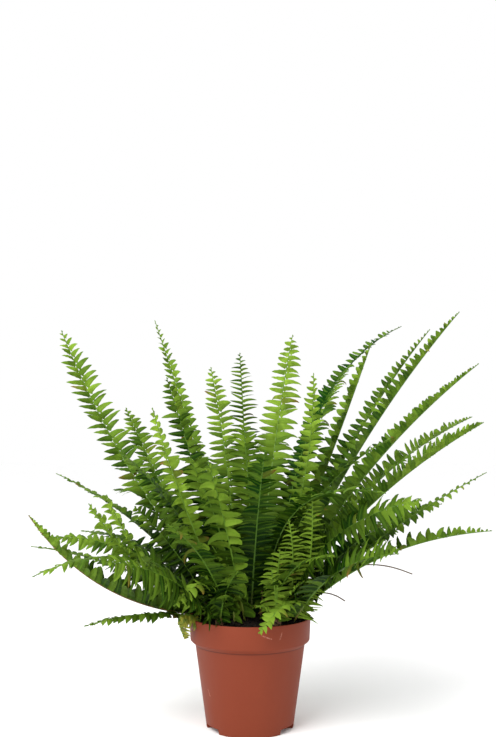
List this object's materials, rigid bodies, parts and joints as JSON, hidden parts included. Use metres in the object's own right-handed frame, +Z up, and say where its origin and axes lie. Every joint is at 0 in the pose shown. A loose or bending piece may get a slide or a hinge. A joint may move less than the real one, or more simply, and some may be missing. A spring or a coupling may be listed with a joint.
{
  "type": "potted fern",
  "caption": "Young sword fern: a loose tuft of long, arching, feathery fronds in a tapered round nursery pot filled with dark peat.",
  "frame": {"origin": "centre of the pot's foot, on the surface it stands on", "axes": "+Z up along the pot's axis; -Y is the front, the side that the picture shows; +X to the right, along the widest reach of the fronds"},
  "size_m": [0.4732, 0.3347, 0.4223],
  "materials": {
    "pot_plastic": "satin",
    "peat": "matte",
    "leaf_green": "satin",
    "leaf_withered": "matte",
    "stem_brown": "matte"
  },
  "bodies": {
    "root": {"pot": "pot_plastic", "soil": "peat", "tall_frond_1": "leaf_green", "tall_frond_2": "leaf_green", "tall_frond_3": "leaf_green", "tall_frond_4": "leaf_green", "tall_frond_5": "leaf_green", "tall_frond_6": "leaf_green", "tall_frond_7": "leaf_green", "tall_frond_8": "leaf_green", "tall_frond_9": "leaf_green", "tall_frond_10": "leaf_green", "tall_frond_11": "leaf_green", "middle_frond_1": "leaf_green", "middle_frond_2": "leaf_green", "middle_frond_3": "leaf_green", "middle_frond_4": "leaf_green", "middle_frond_5": "leaf_green", "middle_frond_6": "leaf_green", "middle_frond_7": "leaf_green", "middle_frond_8": "leaf_green", "middle_frond_9": "leaf_green", "middle_frond_10": "leaf_green", "middle_frond_11": "leaf_green", "middle_frond_12": "leaf_green", "middle_frond_13": "leaf_green", "middle_frond_14": "leaf_green", "low_frond_1": "leaf_green", "low_frond_2": "leaf_green", "low_frond_3": "leaf_green", "low_frond_4": "leaf_green", "low_frond_5": "leaf_green", "low_frond_6": "leaf_green", "low_frond_7": "leaf_green", "low_frond_8": "leaf_green", "low_frond_9": "leaf_green", "low_frond_10": "leaf_green", "low_frond_11": "leaf_green", "low_frond_12": "leaf_green", "low_frond_13": "leaf_green", "low_frond_14": "leaf_green", "low_frond_15": "leaf_green", "front_frond_1": "leaf_green", "front_frond_2": "leaf_green", "front_frond_3": "leaf_green", "front_frond_4": "leaf_green", "front_frond_5": "leaf_green", "front_frond_6": "leaf_green", "front_frond_7": "leaf_green", "front_frond_8": "leaf_green", "back_frond_1": "leaf_green", "back_frond_2": "leaf_green", "back_frond_3": "leaf_green", "withered_frond_1": "leaf_withered", "runner_1": "stem_brown", "runner_2": "stem_brown", "old_stalk_1": "stem_brown", "back_clump": "leaf_green", "right_clump": "leaf_green", "left_clump": "leaf_green"}
  },
  "joints": []
}
